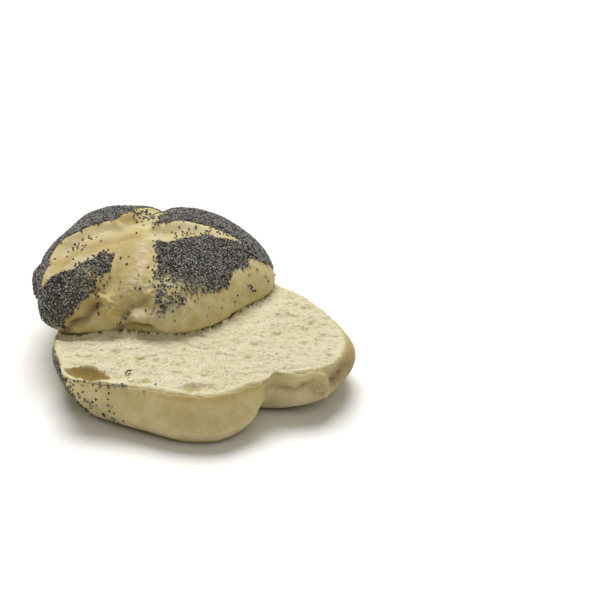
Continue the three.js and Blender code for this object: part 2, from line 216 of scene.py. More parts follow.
# Torn crumb: (depth, cell) of its lumps, and (depth, cell, widest, share of cells that have one) of pits.
CRUMB_DRAWN, PORES_DRAWN = 0.6, 0.8  # scales of X that draw them out along it
CRUMB_LUMPS = (1.1, 7)
CRUMB_FLUFF = (1.4, 3.6)
CRUMB_FURROWS = (0.6, 4.6)
WIDE_PORES = (0.8, 7, 1.6, 0.35)
SMALL_PORES = (0.5, 2.3, 0.6, 0.28)
CRUMBS = (0.8, 1.2, 0.6, 0.6)

# Open pores in the cut face: their middles, and the depth and half sizes of each.
OPEN_PORES = [
    (-24, -19), (-17.2, -21.6), (-8.3, -24.4), (14.3, -4.3), (21, -6.6), (19, -18.9), (-22.8, -42),
    (38.3, 21.7), (43.8, 15.4), (-34, -12), (3, -35), (30, 4)]
OPEN_PORE_SIZE = (1.6, 2.1, 1.5)

PRESSED = [(-60, -0.5), (-40, -0.8)]  # where the lid has pressed the cut face down
CRUMB_TOP = 0.35  # the height over the cut that depths of torn crumb are taken from
CRUMB_INSIDE = 0.05  # how far inside the rim the crumb ends
EDGE_RUN, EDGE_DROP = 0.8, 0.35  # how far in the cut face is rounded off, and how far it drops


# ---------- noise
def blend(x, low, high):
    """0 below low, 1 above high, and the cubic 3t^2 - 2t^3 between."""
    t = np.clip((x - low) / (high - low), 0, 1)
    return t * t * (3 - 2 * t)


def corner_value(*cells):
    """A fixed number from 0 to 1 for each lattice cell: the fraction of a large multiple of a sine."""
    mixed = np.sin(sum(c * k for c, k in zip(cells, (127.1, 311.7, 74.7)))) * 43758.5453
    return mixed - np.floor(mixed)


def lumps(points, cell):
    """Smooth lumps from 0 to 1: corner values of a square or cubic lattice, blended across each cell."""
    scaled = points / cell
    corner = np.floor(scaled)
    share = scaled - corner
    share = share * share * (3 - 2 * share)
    total = 0
    for step in np.ndindex(*(2,) * points.shape[-1]):
        weight = np.prod(np.where(step, share, 1 - share), axis=-1)
        total = total + weight * corner_value(*np.moveaxis(corner + step, -1, 0))
    return total


def fractal(points, cell, octaves=3, fade=0.55):
    """Lumps of several sizes, each half as large as the last and fade times as high, from -1 to 1."""
    total = 0
    reach = 0
    for k in range(octaves):
        total = total + fade**k * (2 * lumps(points + 31.7 * k, cell / 2**k) - 1)
        reach += fade**k
    return total / reach


def pits(x, y, kind):
    """Depth of round pits: a lattice cell may hold one, and its depth is a half ball about its middle."""
    deep, cell, widest, share = kind
    column, row = np.floor(x / cell), np.floor(y / cell)
    ball = np.zeros(x.shape)
    for i, j in np.ndindex(3, 3):
        c, r = column + i - 1, row + j - 1
        away = np.hypot(x - (c + corner_value(c, r)) * cell, y - (r + corner_value(c + 17, r + 5)) * cell)
        radius = widest * (0.35 + 0.65 * corner_value(c + 3, r + 71))
        radius = radius * (corner_value(c + 9, r + 29) < share)
        ball = np.maximum(ball, np.sqrt(np.clip(radius**2 - away**2, 0, None)))
    return deep * ball


# ---------- outlines, arms and relief
def bell(angle, middle, half_width):
    """A Gaussian round one direction, 1 at its middle. The angle is in radians, the rest in degrees."""
    turn = (angle - radians(middle) + pi) % (2 * pi) - pi
    return np.exp(-((turn / radians(half_width)) ** 2))


def at_angle(outline, angle):
    """The outline's radius, or height, in a direction: its mean and the bell of each of its swells."""
    mean, swells = outline
    return mean + sum(height * bell(angle, at, width) for at, height, width in swells)


def polar(radius, angle, z):
    """Points at a radius and an angle round the Z axis, at height z."""
    return np.stack(np.broadcast_arrays(radius * np.cos(angle), radius * np.sin(angle), z), axis=-1)


def along_chain(points, chain):
    """Distance to each segment of a chain, the share of the way along it, and its ends."""
    for start, end in zip(chain, chain[1:]):
        a, b = np.array(start[:3], float), np.array(end[:3], float)
        share = np.clip(((points - a) @ (b - a)) / ((b - a) @ (b - a)), 0, 1)
        yield np.linalg.norm(points - a - share[..., None] * (b - a), axis=-1), share, start, end


def arm_distance(points, chain):
    """Distance to the edge of a chain of balls whose radius changes evenly, negative inside it."""
    return np.min([away - (start[3] + (end[3] - start[3]) * share)
                   for away, share, start, end in along_chain(points, chain)], axis=0)


def star_distance(points):
    """Distance to the edge of the nearest arm, negative inside the star."""
    return np.min([arm_distance(points, chain) for _, chain in ARMS], axis=0)


def star_depth(points):
    """How deep the deepest arm lies under the smooth skin: its depth inside, rising to 0 at its edge."""
    return np.max([depth * blend(-arm_distance(points, chain), 0, ARM_SLOPE) for depth, chain in ARMS],
                  axis=0)


def near_line(points, line, reach, power=2):
    """1 on a line of points, falling off as e to the minus power of the distance over the reach."""
    nearest = np.min([away for away, *_ in along_chain(points, line)], axis=0)
    return np.exp(-((nearest / reach) ** power))


def marks(points, table):
    """Soft marks round lines on the smooth skin: the sum of each one's strength times its nearness."""
    return sum(strength * near_line(points, line, reach) for line, strength, reach in table)


def waver(points, cell, far):
    """The points moved about by up to far, by smooth noise of that cell in each direction."""
    shifts = [fractal(points + 57.3 * k, cell, 2) for k in range(points.shape[-1])]
    return points + far * np.stack(shifts, axis=-1)


def relief(points, features):
    """Folds, which are sharp, and ridges, which are round: each one's height times its nearness."""
    bent = waver(points, 5, 0.9)
    return sum(height * near_line(bent, line, reach, 2 if height > 0 else FOLD_POWER)
               for line, height, reach in features)


def normals_of(surface, angle, share, step=1e-3):
    """Outward unit normals of a smooth surface, from its slopes along both parameters."""
    along_angle = surface(angle + step, share) - surface(angle - step, share)
    low, high = np.clip(share - step, 0, 1), np.clip(share + step, 0, 1)
    along_share = surface(angle, high) - surface(angle, low)
    normal = np.cross(along_angle, along_share)
    length = np.linalg.norm(normal, axis=-1, keepdims=True)
    return np.where(length > 1e-12, normal / np.maximum(length, 1e-12), (0, 0, 1))


# ---------- the lid
def lid_shell(angle, share):
    """The smooth lid, by share of the way from its rim to its top: a parabolic wall, then a superellipse."""
    rim = at_angle(LID_RIM, angle)
    up = np.clip(share / WALL_SHARE, 0, 1)
    turn = np.clip((share - WALL_SHARE) / (1 - WALL_SHARE), 0, 1) * pi / 2
    on_wall = share < WALL_SHARE
    wall_radius = rim + LID_OVERHANG * (1 - (1 - up) ** 2)
    dome_radius = (rim + LID_OVERHANG) * np.clip(np.cos(turn), 0, 1) ** DOME_FULLNESS
    dome_height = LID_WIDEST_AT + (LID_HEIGHT - LID_WIDEST_AT) * np.sin(turn) ** DOME_FULLNESS
    return polar(np.where(on_wall, wall_radius, dome_radius), angle,
                 np.where(on_wall, LID_WIDEST_AT * up, dome_height))


def lobe_distance(points):
    """How far inside the seeded lobes a point is: off the star, and above the lobes' lower edge."""
    angle = np.arctan2(points[..., 1], points[..., 0])
    return np.minimum(star_distance(points), points[..., 2] - at_angle(LOBE_EDGE, angle))


def seed_density(points):
    """The share of the seed coat at a point of the lid: full in the lobes, ragged at their edges."""
    inside = lobe_distance(points) + 1.3 * fractal(points, 3.2, 2) + 1.1 * fractal(points + 40, 7, 2)
    inside = inside + marks(points, SEEDS_MORE) - marks(points, SEEDS_BARE)
    thin = np.clip(marks(points, SEEDS_THIN), 0, 0.7) * blend(fractal(points, 6, 2), -0.7, 0.2)
    return blend(inside, -0.5, 0.8 + 8 * marks(points, SEEDS_LOOSE)) * (FULL_COAT - thin)


def rim_teeth(angle):
    """How far the torn rim of the lid stands above the cut: teeth about 2 mm wide, most on the right."""
    rim = polar(at_angle(LID_RIM, angle), angle, 0 * angle)
    side = 0.35 + 0.65 * blend(bell(angle, -40, 50), 0.2, 0.8)
    return side * (0.6 * blend(fractal(rim, 2.1, 2), -0.1, 0.5) + 0.2 * lumps(rim, 6))


def torn_share(points):
    """How torn the crust is: 1 round the lump and the folds at the foot of the front arm."""
    return np.maximum(near_line(points, [(-17, -46, 14), (-11, -48, 4)], 8),
                      near_line(points, [(-6, -48, 10), (5, -46, 19)], 4.5))


def crack_share(points):
    """Floury flakes along the middle of the front arm: 0 on the lines of a noise, 1 between them."""
    lines = np.abs(fractal(waver(points, 2.5, 0.7), 2.6, 2))
    return near_line(points, LID_CRACKS, 3.4) * blend(lines, 0.05, 0.22)


def lid_crust_points(angle, share):
    """The lid's skin: the smooth shell moved along its normals by the arms, folds, crags and small lumps."""
    smooth = lid_shell(angle, share)
    z = smooth[..., 2]
    valley = star_depth(smooth) * blend(z, 1, 14)
    small = 0.30 * fractal(smooth, 9) + 0.12 * fractal(smooth, 2.2, 2)
    in_star = blend(-star_distance(smooth), -1, 3)
    puckers = 0.30 * np.abs(fractal(waver(smooth, 4, 1.2), 3.0, 3)) * in_star
    crags = torn_share(smooth) * (3.4 * np.abs(fractal(waver(smooth, 5, 1.5), 5.2, 4, 0.6)) - 0.7)
    flakes = 0.25 * crack_share(smooth)
    rough = (small + puckers + crags + flakes) * blend(z, 0, 2)
    out = relief(smooth, LID_RELIEF) * blend(z, 0, 1.5) - valley + rough
    points = smooth + out[..., None] * normals_of(lid_shell, angle, share)
    points[..., 0] += LID_LEAN * points[..., 2] / LID_HEIGHT
    points[..., 2] += rim_teeth(angle) * (1 - blend(z, 0, 3))
    return points


# ---------- crumb
def crumb_relief(x, y):
    """How far torn crumb lies below its top: lumps, rough fluff, furrows, pores and crumbs."""
    at = waver(np.stack([x, y], axis=-1), 5, 1.3)
    drawn = at * (CRUMB_DRAWN, 1)
    broad = CRUMB_LUMPS[0] * lumps(at, CRUMB_LUMPS[1])
    fluff = 0.9 - CRUMB_FLUFF[0] * fractal(drawn, CRUMB_FLUFF[1], 5, 0.72)
    lines = np.abs(fractal(drawn + 90, CRUMB_FURROWS[1], 2))
    furrows = CRUMB_FURROWS[0] * (1 - blend(lines, 0, 0.12))
    pores = pits(x * PORES_DRAWN, y, WIDE_PORES) + pits(x * PORES_DRAWN, y, SMALL_PORES)
    return broad + fluff + furrows + pores - pits(x + 61, y, CRUMBS) - 0.3


def open_pores(x, y):
    """Depth of the open pores in the cut face: a Gaussian round the middle of each."""
    deep, long, wide = OPEN_PORE_SIZE
    return sum(deep * np.exp(-((x - at_x) / long) ** 2 - ((y - at_y) / wide) ** 2)
               for at_x, at_y in OPEN_PORES)


def hollow(x, y, pocket):
    """Depth of a hollow at a point of the cut face: a half ellipsoid with a slightly ragged edge."""
    (at_x, at_y), (long, wide, deep), turn = pocket
    c, s = cos(radians(turn)), sin(radians(turn))
    u, v = (x - at_x) * c + (y - at_y) * s, (y - at_y) * c - (x - at_x) * s
    ragged = 1 + 0.16 * fractal(np.stack([x, y], axis=-1), 3.5, 2)
    return deep * np.sqrt(np.clip(1 - (u / long) ** 2 - (v / wide) ** 2, 0, 1)) * ragged


def rounded_off(to_edge):
    """How far the cut face drops towards its edge: a quarter of an ellipse."""
    share = np.clip(1 - to_edge / EDGE_RUN, 0, 1)
    return EDGE_DROP * (1 - np.sqrt(np.clip(1 - share ** 2, 0, 1)))


def lid_edge_strip(flat):
    """1 on the strip of the base's cut face that lies just outside the lid's rim, 0 elsewhere."""
    x, y = np.moveaxis(flat + (BASE_AT - LID_AT)[:2], -1, 0)
    beyond = np.hypot(x, y) - at_angle(LID_RIM, np.arctan2(y, x))
    return blend(beyond, -0.7, 0.3) * (1 - blend(beyond, 1.0, 4.0))


# ---------- the base
def base_wall(angle, share):
    """The smooth wall, by share of its height: an elliptical lower edge up to the rim, and a bulge."""
    foot, rim = at_angle(BASE_FOOT, angle), at_angle(BASE_RIM, angle)
    lower_edge = np.sqrt(np.clip(1 - (1 - share) ** 2, 0, 1))
    radius = foot + (rim - foot) * lower_edge + at_angle(BASE_BULGE, angle) * np.sin(pi * share)
    return polar(radius, angle, CUT_HEIGHT * share)


def base_crust_points(angle, share):
    """The base's skin: the smooth wall moved along its normals by its folds and small lumps."""
    smooth = base_wall(angle, share)
    z = smooth[..., 2]
    fade = blend(z, 0, 1.5) * (1 - blend(z, 19.5, CUT_HEIGHT))
    small = 0.25 * fractal(smooth, 10) + 0.09 * fractal(smooth, 2.4, 2)
    crags = 1.1 * near_line(smooth, [(50, -31, 17), (57, -21, 14)], 6) * (np.abs(fractal(smooth, 5, 3)) - 0.3)
    out = fade * (relief(smooth, BASE_RELIEF) + crags) + small * blend(z, 0, 2)
    points = smooth + out[..., None] * normals_of(base_wall, angle, share)
    points[..., 2] = np.maximum(points[..., 2], 0)
    return points


# ---------- meshes
def disc_grid(n):
    """Angle and share of the radius on an n by n grid: each square ring of the grid becomes a circle."""
    u, v = np.meshgrid(np.linspace(-1, 1, n), np.linspace(-1, 1, n), indexing="ij")
    u[n // 2, n // 2] = 1e-12  # the middle point would have no direction
    flat = np.abs(u) >= np.abs(v)
    across = np.where(flat, v / np.where(u == 0, 1, u), u / np.where(v == 0, 1, v))
    sideways = pi / 4 * across + pi * (u < 0)
    upright = pi / 2 - pi / 4 * across + pi * (v < 0)
    return np.where(flat, sideways, upright), np.maximum(np.abs(u), np.abs(v))


def grid_edge(n):
    """The indices of the outer points of an n by n grid, counter-clockwise."""
    index = np.arange(n * n).reshape(n, n)
    return np.concatenate([index[:-1, 0], index[-1, :-1], index[:0:-1, -1], index[0, :0:-1]])


def band(lower, upper):
    """Quads between two closed rows of points, facing out where the rows run counter-clockwise."""
    return np.stack([lower, np.roll(lower, -1), np.roll(upper, -1), upper], axis=-1)


def new_object(name, data):
    """A new object in the scene, for a mesh, a light or a camera."""
    made = bpy.data.objects.new(name, data)
    bpy.context.scene.collection.objects.link(made)
    return made


def make_object(name, points, faces, values):
    """A smooth mesh object from points in mm, arrays of faces with as many corners, and values by name."""
    mesh = bpy.data.meshes.new(name)
    corners = np.concatenate([face.ravel() for face in faces]).astype(np.int32)
    sizes = np.concatenate([np.full(len(face), face.shape[1]) for face in faces])
    mesh.vertices.add(len(points))
    mesh.vertices.foreach_set("co", (points * MM).astype(np.float32).ravel())
    mesh.loops.add(len(corners))
    mesh.loops.foreach_set("vertex_index", corners)
    mesh.polygons.add(len(sizes))
    mesh.polygons.foreach_set("loop_start", (np.cumsum(sizes) - sizes).astype(np.int32))
    mesh.update(calc_edges=True)
    for value_name, value in values.items():
        attribute = mesh.attributes.new(value_name, "FLOAT", "POINT")
        attribute.data.foreach_set("value", np.clip(value, 0, 1).astype(np.float32).ravel())
    mesh.shade_smooth()
    return new_object(name, mesh)


def disc_body(name, face, rings, values, facing_up=True):
    """A closed body from a face on a disc grid and the rings that run on from its edge to a flat cap."""
    n = face.shape[0]
    index = np.arange(n * n).reshape(n, n)
    corners = index[:-1, :-1], index[1:, :-1], index[1:, 1:], index[:-1, 1:]
    quads = [np.stack(corners, axis=-1).reshape(-1, 4)]
    rows = [grid_edge(n)]
    for k, ring in enumerate(rings):
        rows.append(n * n + k * len(ring) + np.arange(len(ring)))
        quads.append(band(rows[-1], rows[-2]))
    faces = [np.concatenate(quads), rows[-1][None, ::-1]]
    if not facing_up:
        faces = [turned[:, ::-1] for turned in faces]
    points = np.concatenate([part.reshape(-1, 3) for part in (face, *rings)])
    more = len(points) - n * n
    padded = {key: np.pad(value.ravel(), (0, more), mode="edge") for key, value in values.items()}
    return make_object(name, points, faces, padded)


# ---------- materials
# How wide the lumps of each pattern are, in metres.
BLOTCH = 0.012
PATCH = 0.0048
MOTTLE = 0.0021
CRACKLE = 0.0016
WRINKLE = 0.0011
SPECK = 0.0008
SEED_NET = 0.00025


def linear(colour):
    """A display colour as the linear one that shaders work in, with an alpha of 1."""
    return (*(c / 12.92 if c <= 0.04045 else ((c + 0.055) / 1.055) ** 2.4 for c in colour), 1)


class Nodes:
    """A short way to add nodes to a tree and link them."""

    def __init__(self, tree):
        self.tree = tree

    def feed(self, node, inputs):
        """Gives a node its inputs: a link from each one that is a socket, and the others as values."""
        for key, value in inputs.items():
            if isinstance(value, bpy.types.NodeSocket):
                self.tree.links.new(value, node.inputs[key])
            else:
                node.inputs[key].default_value = value

    def add(self, kind, inputs=(), **settings):
        node = self.tree.nodes.new(kind)
        for key, value in settings.items():
            setattr(node, key, value)
        self.feed(node, dict(inputs))
        return node

    def noise(self, coordinates, size, detail=3, roughness=0.55):
        """Noise from 0 to 1 whose lumps are about size metres wide."""
        inputs = {"Vector": coordinates, "Scale": 1 / size, "Detail": detail, "Roughness": roughness}
        return self.add("ShaderNodeTexNoise", inputs).outputs["Fac"]

    def span(self, value, low, high, start=0, end=1):
        """start where the value is low or less, end where it is high or more, even steps in between."""
        inputs = {"Value": value, "From Min": low, "From Max": high, "To Min": start, "To Max": end}
        return self.add("ShaderNodeMapRange", inputs).outputs["Result"]

    def attribute(self, name, by=None):
        """A value kept with the mesh, and its product with another value where one is given."""
        value = self.add("ShaderNodeAttribute", attribute_name=name).outputs["Fac"]
        if by is None:
            return value
        product = self.add("ShaderNodeMath", {0: value, 1: by}, operation="MULTIPLY", use_clamp=True)
        return product.outputs["Value"]

    def layered(self, colour, layers):
        """Colours laid over one another: each layer is a share and the colour that it brings."""
        below = linear(colour)
        for share, over in layers:
            node = self.add("ShaderNodeMix", {"Factor": share}, data_type="RGBA")
            a, b = [k for k, socket in enumerate(node.inputs) if socket.type == "RGBA"]
            self.feed(node, {a: below, b: linear(over)})
            below = next(socket for socket in node.outputs if socket.type == "RGBA")
        return below

    def finish(self, shader, colour, roughness, specular, height, strength, distance):
        """Gives the shader its colour, its roughness, its specular level and the bump of a height."""
        bump = self.add("ShaderNodeBump", {"Height": height, "Strength": strength, "Distance": distance})
        self.feed(shader, {"Base Color": colour, "Roughness": roughness, "Normal": bump.outputs["Normal"],
                           "Specular IOR Level": specular})


def grain_group():
    """Grain of crust and crumb: broad blotches, a fine mottle and the height of tiny wrinkles."""
    group = bpy.data.node_groups.get("grain")
    if group:
        return group
    group = bpy.data.node_groups.new("grain", "ShaderNodeTree")
    group.interface.new_socket("Vector", in_out="INPUT", socket_type="NodeSocketVector")
    for name in ("Blotches", "Mottle", "Height"):
        group.interface.new_socket(name, in_out="OUTPUT", socket_type="NodeSocketFloat")
    nodes = Nodes(group)
    at = nodes.add("NodeGroupInput").outputs["Vector"]
    blotches = nodes.span(nodes.noise(at, BLOTCH, 4, 0.6), 0.36, 0.66)
    mottle = nodes.span(nodes.noise(at, MOTTLE, 4, 0.7), 0.3, 0.7)
    height = nodes.noise(at, WRINKLE, 4, 0.7)
    nodes.add("NodeGroupOutput", {"Blotches": blotches, "Mottle": mottle, "Height": height})
    return group


def new_material(name):
    """A new material: its nodes, its shader, its object coordinates and the outputs of its grain."""
    material = bpy.data.materials.new(name)
    material.use_nodes = True
    nodes = Nodes(material.node_tree)
    shader = material.node_tree.nodes["Principled BSDF"]
    at = nodes.add("ShaderNodeTexCoord").outputs["Object"]
    grain = nodes.add("ShaderNodeGroup", {"Vector": at}, node_tree=grain_group())
    return material, nodes, shader, at, grain.outputs


def crust_material(name, colours):
    """Pale baked crust: cream and straw in blotches, golden where it browned, floury in folds; tan where it
    browned more and as painted shade in hollows, folds and creases, flour_and_light also as painted light on
    one edge of the base, and painted shade in the gaps of the seed coat.
    """
    material, nodes, shader, at, (blotches, mottle, height) = new_material(name)
    patches = nodes.noise(at, PATCH, 3, 0.6)
    colour = nodes.layered(colours.cream, [
        (blotches, colours.straw),
        (nodes.span(patches, 0.5, 0.68, 0, 0.7), colours.golden),
        (nodes.span(patches, 0.48, 0.34, 0, 0.6), colours.flour_and_light),
        (nodes.attribute("golden", by=nodes.span(mottle, -0.5, 0.75)), colours.golden),
        # tan: browning, and painted shade in hollows, folds and creases
        (nodes.attribute("tan", by=nodes.span(blotches, -0.8, 0.5)), colours.tan),
        (nodes.attribute("flour_and_light", by=nodes.span(mottle, 0.1, 0.8)), colours.flour_and_light),
        (nodes.span(nodes.noise(at, SPECK, 2), 0.62, 0.75, 0, 0.45), colours.tan),
        (nodes.span(nodes.noise(at, CRACKLE, 3, 0.6), 0.58, 0.72, 0, 0.35), colours.flour_and_light),
        # Painted shade: the gaps of the seed coat are darkened as if shaded, over the seed bits that lie
        # there.
        (nodes.attribute("seed_bits_and_shade"), colours.seed_bits_and_shade),
    ])
    nodes.finish(shader, colour, nodes.span(mottle, 0, 1, 0.58, 0.78), 0.3, height, 0.45, 0.0005)
    return material


def crumb_material(name, colours):
    """Torn crumb: pale, with deeper yellow painted as shade down in its pores, in the low spots of its grain
    and just outside the lid's rim; smooth and olive yellow-brown in the air pocket, its wall's own colour
    with painted shade, and the same colour painted as shade in the dent.
    """
    material, nodes, shader, _, (blotches, mottle, height) = new_material(name)
    colour = nodes.layered(colours.crumb, [
        (blotches, colours.crumb_warm),
        # Painted shade: crumb that lies deep gets the deeper colour.
        (nodes.attribute("deep", by=nodes.span(mottle, -0.6, 0.6)), colours.crumb_pore_shade),
        # Painted shade: the low spots of the grain's height get the deeper colour.
        (nodes.span(height, 0.36, 0.5, 0.3, 0), colours.crumb_pore_shade),
        # The air pocket's own smooth wall with painted shade, and painted shade in the dent.
        (nodes.attribute("pocket"), colours.pocket),
        (nodes.attribute("edge"), colours.cream),
    ])
    nodes.finish(shader, colour, nodes.span(mottle, 0, 1, 0.85, 0.98), 0.15, height, 0.9, 0.0007)
    return material


def seed_material(name, colours):
    """Poppy seeds: each one's own tone, from near black through slate to brown, with a faint gloss."""
    material, nodes, shader, at, _ = new_material(name)
    tone = nodes.attribute("tone")
    net = nodes.noise(at, SEED_NET, 2)
    colour = nodes.layered(colours.seed_dark, [
        (nodes.span(tone, 0.15, 1), colours.seed_slate),
        (nodes.span(tone, 0.9, 0.92), colours.seed_brown),
        (nodes.span(net, 0.55, 0.75, 0, 0.5), colours.seed_slate),
    ])
    nodes.finish(shader, colour, nodes.span(tone, 0, 1, 0.45, 0.65), 0.5, net, 0.5, 0.0001)
    return material


# The material of each slot: its name and the function that makes it.
FINISHES = {
    "crust": ("baked crust", crust_material),
    "crumb": ("torn crumb", crumb_material),
    "poppy_seeds": ("poppy seed", seed_material),
}


def finish_piece(piece, node, slot, context):
    """Gives a piece the material of its slot, attaches it to the root body and hides the CAD part that it
    stands for.
    """
    name, make = FINISHES[slot]
    material = bpy.data.materials.get(name) or make(name, context.scene.roll_colours)
    piece.data.materials.append(material)
    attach(piece, "root")
    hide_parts(node)


# ---------- what a user would change
def colour_property(name, description, default):
    return FloatVectorProperty(name=name, description=description, default=default, subtype="COLOR_GAMMA",
                               size=3, min=0, max=1)


class RollSizes(bpy.types.PropertyGroup):
    crust_thickness: FloatProperty(
        name="Crust thickness", description="Thickness of the crust at the cut",
        default=0.0008, min=0.0003, max=0.003, unit="LENGTH")
    seed_length: FloatProperty(
        name="Seed length", description="Length of one poppy seed",
        default=0.00118, min=0.0005, max=0.002, unit="LENGTH")
    seed_pitch: FloatProperty(
        name="Seed pitch", description="Distance between seeds where they lie closest",
        default=0.00098, min=0.0006, max=0.004, unit="LENGTH")
    lid_grid: IntProperty(
        name="Lid grid", description="Points along each side of the grid on the lid",
        default=301, min=51, max=311)
    crumb_grid: IntProperty(
        name="Crumb grid", description="Points along each side of the grid on the base's crumb",
        default=307, min=51, max=311)


class RollColours(bpy.types.PropertyGroup):
    cream: colour_property("Cream", "Palest crust", (0.83, 0.785, 0.61))
    straw: colour_property("Straw", "Crust between pale blotches", (0.775, 0.715, 0.50))
    golden: colour_property("Golden", "Crust that browned a little", (0.755, 0.665, 0.40))
    # Browned edges and specks, and painted shade in hollows, folds and creases.
    tan: colour_property("Tan", "Edges and specks that browned more", (0.55, 0.45, 0.25))
    # Floury crust, and painted light along one edge of the base's front lobe.
    flour_and_light: colour_property("Flour", "Floury crust in folds", (0.855, 0.82, 0.69))
    # Seed bits and painted shade in the gaps of the seed coat.
    seed_bits_and_shade: colour_property("Under seeds", "Crust in the gaps of the seed coat", (0.24, 0.22, 0.18))
    crumb: colour_property("Crumb", "Pale crumb", (0.885, 0.858, 0.74))
    crumb_warm: colour_property("Warm crumb", "Crumb between pale patches", (0.855, 0.818, 0.685))
    # Painted shade: deeper yellow down in pores and hollows.
    crumb_pore_shade: colour_property("Deep crumb", "Crumb down in its pores", (0.79, 0.71, 0.48))
    # Smooth wall of the air pocket with painted shade; also painted as shade in the dent.
    pocket: colour_property("Pocket", "Smooth wall of the air pocket", (0.70, 0.62, 0.40))
    seed_dark: colour_property("Dark seed", "Darkest seeds", (0.12, 0.108, 0.10))
    seed_slate: colour_property("Slate seed", "Blue-grey seeds", (0.66, 0.65, 0.625))
    seed_brown: colour_property("Brown seed", "Brownish seeds", (0.47, 0.40, 0.30))


class StageSettings(bpy.types.PropertyGroup):
    floor: colour_property("Floor", "Colour of the floor", (0.96, 0.96, 0.955))
    overhead: FloatProperty(
        name="Overhead light", description="Strength of the light from high behind", default=3.08, min=0)
    front: FloatProperty(
        name="Front light", description="Strength of the light from the front right", default=0.45, min=0)
    light_width: FloatProperty(
        name="Light width", description="Angle that each light fills",
        default=radians(42), min=0, max=pi, subtype="ANGLE")
    surround: FloatProperty(
        name="Surround", description="Strength of the warm white surroundings", default=0.18, min=0)


# ---------- pieces
def near_height(z, middle, half_width):
    """1 at the middle height, falling off as a Gaussian."""
    return np.exp(-(((z - middle) / half_width) ** 2))


def patches(z, side, table):
    """Patches on the wall: the sum of each one's strength times its Gaussians in height and direction."""
    return sum(strength * near_height(z, middle, half) * bell(side, at, width)
               for strength, middle, half, at, width in table)


def inset(points, by):
    """Rows of points moved towards the Z axis by a length."""
    radius = np.hypot(points[..., 0], points[..., 1])
    scale = (radius - by) / radius
    return np.stack([points[..., 0] * scale, points[..., 1] * scale, points[..., 2]], axis=-1)


class ROLL_OT_base_crust(bpy.types.Operator):
    """Crust of the base: its folded wall and flat foot, with a thin torn edge just under the cut"""

    bl_idname = "roll.base_crust"
    bl_label = "Base crust"

    columns, rows, inner_rows = 960, 76, 6
    inner_floor = 0.12  # how high the hidden floor lies, as a share of the wall
    edge_drop = 0.25  # how far the inside of the torn edge lies under its outside

    def execute(self, context):
        """The wall's rows run up from the foot to a torn edge, and down inside it to a hidden floor."""
        thickness = context.scene.roll_sizes.crust_thickness / MM
        angle = np.linspace(-pi, pi, self.columns, endpoint=False)[None, :]
        rim = polar(at_angle(BASE_RIM, angle), angle, 0)
        top = 1 - (0.45 + 0.9 * lumps(rim, 2.4) + 0.3 * lumps(rim, 9)) / CUT_HEIGHT
        share = (1 - np.cos(np.linspace(0, pi / 2, self.rows)))[:, None] * top
        wall = base_crust_points(angle + 0 * share, share)
        depth = np.linspace(0, 1, self.inner_rows)[:, None]
        inner = base_crust_points(angle + 0 * depth, top * (1 - depth) + self.inner_floor * depth)
        inner = inset(inner, thickness * (1 + depth))
        inner[..., 2] -= self.edge_drop * (1 - depth)
        points = np.concatenate([wall, inner])
        rows = np.arange(points[..., 0].size).reshape(points.shape[:2])
        quads = np.concatenate([band(low, high) for low, high in zip(rows, rows[1:])])
        z = points[..., 2]
        side = np.arctan2(points[..., 1], points[..., 0])
        values = {
            "golden": 0.45 + patches(z, side, GOLDEN_PATCHES) - 0.3 * near_height(z, 5, 5),
            # browning at the foot and under the rim, and painted shade on the front wall, on the right end
            # and in the recesses of the right lobe
            "tan": 0.6 * blend(-z, -2.5, -0.2) + patches(z, side, TAN_AND_SHADE_PATCHES) + marks(points, BASE_RECESS_SHADE),
            # painted light along the front lobe's right edge, where it glows; also paler at mid height and
            # near the foot
            "flour_and_light": 0.3 * bell(side, -40, 14) + 0.15 * near_height(z, 14, 5) + 0.3 * near_height(z, 5, 4),
            # painted shade in the gaps of the close seeds on the far left
            "seed_bits_and_shade": 0.5 * blend(bell(side, *SEEDED_SIDE), 0.4, 0.9),
        }
        piece = make_object("base_crust", (points + BASE_AT).reshape(-1, 3),
                            [quads, rows[:1, ::-1], rows[-1:]], values)
        finish_piece(piece, "roll_base", "crust", context)
        return {"FINISHED"}


